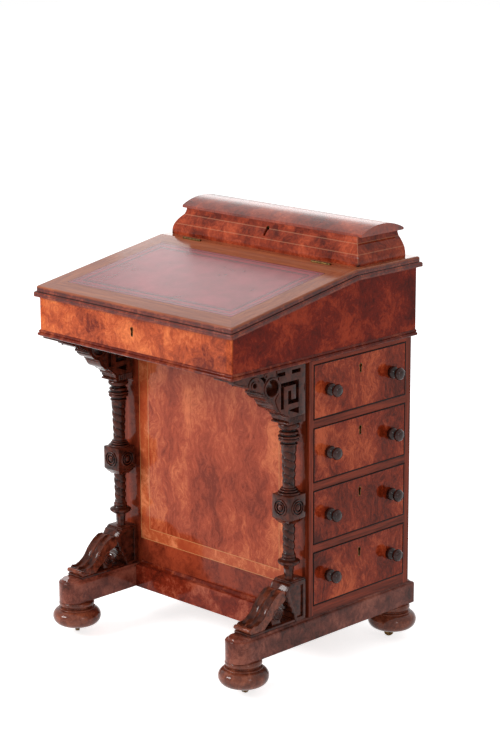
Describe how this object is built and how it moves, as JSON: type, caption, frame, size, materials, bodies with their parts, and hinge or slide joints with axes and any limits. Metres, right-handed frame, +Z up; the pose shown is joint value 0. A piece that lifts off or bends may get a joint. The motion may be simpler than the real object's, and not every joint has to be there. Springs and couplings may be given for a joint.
{
  "type": "davenport desk",
  "caption": "Davenport desk with a sloping leather-lined lid, a domed gallery, side drawers in a pedestal, carved columns on scroll feet and bun feet on castors.",
  "frame": {"origin": "on the floor under the middle of the whole desk, at the bottom centre of its bounding box", "axes": "+X towards the side with the working drawers, -Y towards the writer, +Z up"},
  "size_m": [0.5922, 0.5469, 0.8672],
  "materials": {
    "burr_walnut": "burr walnut veneer, french polished to a high gloss",
    "polished_walnut": "solid walnut and crossbanding, french polished",
    "dark_walnut": "carved and turned dark walnut, waxed",
    "lining_timber": "mahogany drawer linings, bare and smooth",
    "satin_maple": "satin birch, thinly varnished",
    "leather": "glazed maroon skiver with tooled border lines",
    "brass": "aged, rubbed bright on the high spots"
  },
  "bodies": {
    "root": {"base_runners": "polished_walnut", "base_cross_rails": "polished_walnut", "bun_feet": "polished_walnut", "castor_sockets": "brass", "pedestal_front_panel": "burr_walnut", "pedestal_back_panel": "burr_walnut", "drawer_side_frame": "polished_walnut", "dummy_side_frame": "polished_walnut", "dummy_drawer_fronts": "burr_walnut", "dummy_drawer_knobs": "dark_walnut", "dust_boards": "lining_timber", "fret_brackets": "dark_walnut", "columns": "dark_walnut", "scroll_brackets": "dark_walnut", "desk_sides": "burr_walnut", "desk_front_board": "burr_walnut", "desk_back_board": "burr_walnut", "desk_bottom_board": "lining_timber", "desk_base_moulding": "polished_walnut", "top_shelf": "polished_walnut", "gallery_front": "burr_walnut", "gallery_ends": "burr_walnut", "gallery_back": "burr_walnut", "gallery_partitions": "satin_maple", "pigeonholes": "satin_maple", "lid_hinge_fixed_leaves": "brass", "gallery_hinge_fixed_leaves": "brass", "fixed_escutcheons": "brass", "fixed_locks": "brass"},
    "writing_lid": {"writing_lid_frame": "polished_walnut", "writing_lid_leather": "leather", "writing_lid_hinge_leaves": "brass"},
    "gallery_lid": {"gallery_lid": "burr_walnut", "gallery_lid_hinge_leaves": "brass"},
    "drawer_1": {"drawer_1_front": "burr_walnut", "drawer_1_box": "lining_timber", "drawer_1_knobs": "dark_walnut", "drawer_1_lock": "brass"},
    "drawer_2": {"drawer_2_front": "burr_walnut", "drawer_2_box": "lining_timber", "drawer_2_knobs": "dark_walnut", "drawer_2_lock": "brass"},
    "drawer_3": {"drawer_3_front": "burr_walnut", "drawer_3_box": "lining_timber", "drawer_3_knobs": "dark_walnut", "drawer_3_lock": "brass"},
    "drawer_4": {"drawer_4_front": "burr_walnut", "drawer_4_box": "lining_timber", "drawer_4_knobs": "dark_walnut", "drawer_4_lock": "brass"},
    "interior_drawer_left": {"interior_drawer_left": "satin_maple"},
    "interior_drawer_right": {"interior_drawer_right": "satin_maple"},
    "castor_fork_front_left": {"castor_fork_front_left": "brass"},
    "castor_wheel_front_left": {"castor_wheel_front_left": "brass"},
    "castor_fork_front_right": {"castor_fork_front_right": "brass"},
    "castor_wheel_front_right": {"castor_wheel_front_right": "brass"},
    "castor_fork_back_left": {"castor_fork_back_left": "brass"},
    "castor_wheel_back_left": {"castor_wheel_back_left": "brass"},
    "castor_fork_back_right": {"castor_fork_back_right": "brass"},
    "castor_wheel_back_right": {"castor_wheel_back_right": "brass"}
  },
  "joints": [
    {"name": "drawer_1_slide", "type": "slide", "parent": "root", "child": "drawer_1", "axis": [1, 0, 0], "range_m": [0, 0.34]},
    {"name": "drawer_2_slide", "type": "slide", "parent": "root", "child": "drawer_2", "axis": [1, 0, 0], "range_m": [0, 0.34]},
    {"name": "drawer_3_slide", "type": "slide", "parent": "root", "child": "drawer_3", "axis": [1, 0, 0], "range_m": [0, 0.34]},
    {"name": "drawer_4_slide", "type": "slide", "parent": "root", "child": "drawer_4", "axis": [1, 0, 0], "range_m": [0, 0.34]},
    {"name": "writing_lid_hinge", "type": "hinge", "parent": "root", "child": "writing_lid", "pos_m": [0, 0.0715, 0.7943], "axis": [-1, 0, 0], "range_deg": [0, 105]},
    {"name": "gallery_lid_hinge", "type": "hinge", "parent": "root", "child": "gallery_lid", "pos_m": [0, 0.234, 0.8439], "axis": [-1, 0, 0], "range_deg": [0, 95]},
    {"name": "interior_drawer_left_slide", "type": "slide", "parent": "root", "child": "interior_drawer_left", "axis": [0, -1, 0], "range_m": [0, 0.09]},
    {"name": "interior_drawer_right_slide", "type": "slide", "parent": "root", "child": "interior_drawer_right", "axis": [0, -1, 0], "range_m": [0, 0.09]},
    {"name": "castor_swivel_front_left", "type": "hinge", "parent": "root", "child": "castor_fork_front_left", "pos_m": [-0.2416, -0.2102, 0.04], "axis": [0, 0, 1], "continuous": true},
    {"name": "castor_roll_front_left", "type": "hinge", "parent": "castor_fork_front_left", "child": "castor_wheel_front_left", "pos_m": [-0.24584, -0.20596, 0.01], "axis": [-0.7071, -0.7071, 0], "continuous": true},
    {"name": "castor_swivel_front_right", "type": "hinge", "parent": "root", "child": "castor_fork_front_right", "pos_m": [0.2416, -0.2102, 0.04], "axis": [0, 0, 1], "continuous": true},
    {"name": "castor_roll_front_right", "type": "hinge", "parent": "castor_fork_front_right", "child": "castor_wheel_front_right", "pos_m": [0.24056, -0.20429, 0.01], "axis": [-0.9848, -0.1736, 0], "continuous": true},
    {"name": "castor_swivel_back_left", "type": "hinge", "parent": "root", "child": "castor_fork_back_left", "pos_m": [-0.2416, 0.2238, 0.04], "axis": [0, 0, 1], "continuous": true},
    {"name": "castor_roll_back_left", "type": "hinge", "parent": "castor_fork_back_left", "child": "castor_wheel_back_left", "pos_m": [-0.24724, 0.22585, 0.01], "axis": [-0.342, -0.9397, 0], "continuous": true},
    {"name": "castor_swivel_back_right", "type": "hinge", "parent": "root", "child": "castor_fork_back_right", "pos_m": [0.2416, 0.2238, 0.04], "axis": [0, 0, 1], "continuous": true},
    {"name": "castor_roll_back_right", "type": "hinge", "parent": "castor_fork_back_right", "child": "castor_wheel_back_right", "pos_m": [0.23736, 0.21956, 0.01], "axis": [0.7071, -0.7071, 0], "continuous": true}
  ]
}
